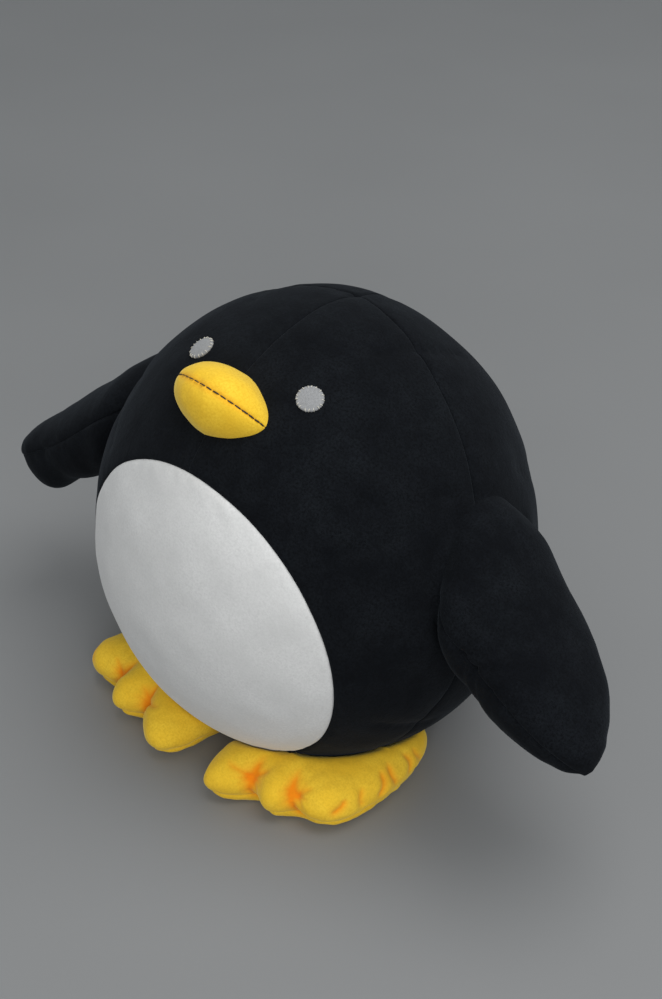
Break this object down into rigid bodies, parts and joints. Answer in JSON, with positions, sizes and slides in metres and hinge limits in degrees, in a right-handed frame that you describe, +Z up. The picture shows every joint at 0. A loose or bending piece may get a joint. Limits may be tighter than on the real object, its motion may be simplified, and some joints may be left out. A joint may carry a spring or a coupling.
{
  "type": "plush penguin toy",
  "caption": "Round stuffed penguin with a white belly, felt eyes, a small beak, two flapping wings and broad three-toed feet it sits on.",
  "frame": {"origin": "centre of the footprint's box on the ground it sits on", "axes": "+X the penguin's left, -Y the way it looks, +Z up"},
  "size_m": [0.5048, 0.2791, 0.2953],
  "materials": {
    "black_plush": "short plush pile with a soft sheen",
    "white_plush": "short plush pile",
    "yellow_plush": "short plush pile",
    "grey_felt": "matte felt",
    "black_thread": "twisted cotton thread",
    "cream_thread": "twisted cotton thread",
    "stuffing": "loose polyester fibre"
  },
  "bodies": {
    "body": {"body_front_left_panel": "black_plush", "body_front_right_panel": "black_plush", "body_back_left_panel": "black_plush", "body_back_right_panel": "black_plush", "belly_panel": "white_plush", "beak_upper_panel": "yellow_plush", "beak_lower_panel": "yellow_plush", "eye_left_felt": "grey_felt", "eye_right_felt": "grey_felt", "beak_mouth_thread": "black_thread", "eye_left_stitching": "cream_thread", "eye_right_stitching": "cream_thread", "body_stuffing": "stuffing", "beak_stuffing": "stuffing"},
    "wing_left": {"wing_left_upper_panel": "black_plush", "wing_left_lower_panel": "black_plush", "wing_left_stuffing": "stuffing"},
    "wing_right": {"wing_right_upper_panel": "black_plush", "wing_right_lower_panel": "black_plush", "wing_right_stuffing": "stuffing"},
    "foot_left": {"foot_left_top_panel": "yellow_plush", "foot_left_sole_panel": "yellow_plush", "foot_left_stuffing": "stuffing"},
    "foot_right": {"foot_right_top_panel": "yellow_plush", "foot_right_sole_panel": "yellow_plush", "foot_right_stuffing": "stuffing"}
  },
  "joints": [
    {"name": "wing_left_flap", "type": "hinge", "parent": "body", "child": "wing_left", "pos_m": [0.132, 0.002, 0.1805], "axis": [0, -1, 0], "range_deg": [-15, 75], "stiffness_Nm_per_rad": 0.15, "springref_deg": 4.58, "deforming": ["wing_left_upper_panel", "wing_left_lower_panel"]},
    {"name": "wing_right_flap", "type": "hinge", "parent": "body", "child": "wing_right", "pos_m": [-0.132, 0.002, 0.1805], "axis": [0, 1, 0], "range_deg": [-15, 75], "stiffness_Nm_per_rad": 0.15, "springref_deg": 4.58, "deforming": ["wing_right_upper_panel", "wing_right_lower_panel"]},
    {"name": "foot_left_lift", "type": "hinge", "parent": "body", "child": "foot_left", "pos_m": [0.061, -0.076, 0.026], "axis": [-1, 0, 0], "range_deg": [0, 20], "stiffness_Nm_per_rad": 0.15, "deforming": ["foot_left_top_panel"]},
    {"name": "foot_right_lift", "type": "hinge", "parent": "body", "child": "foot_right", "pos_m": [-0.061, -0.076, 0.026], "axis": [-1, 0, 0], "range_deg": [0, 20], "stiffness_Nm_per_rad": 0.15, "deforming": ["foot_right_top_panel"]}
  ]
}
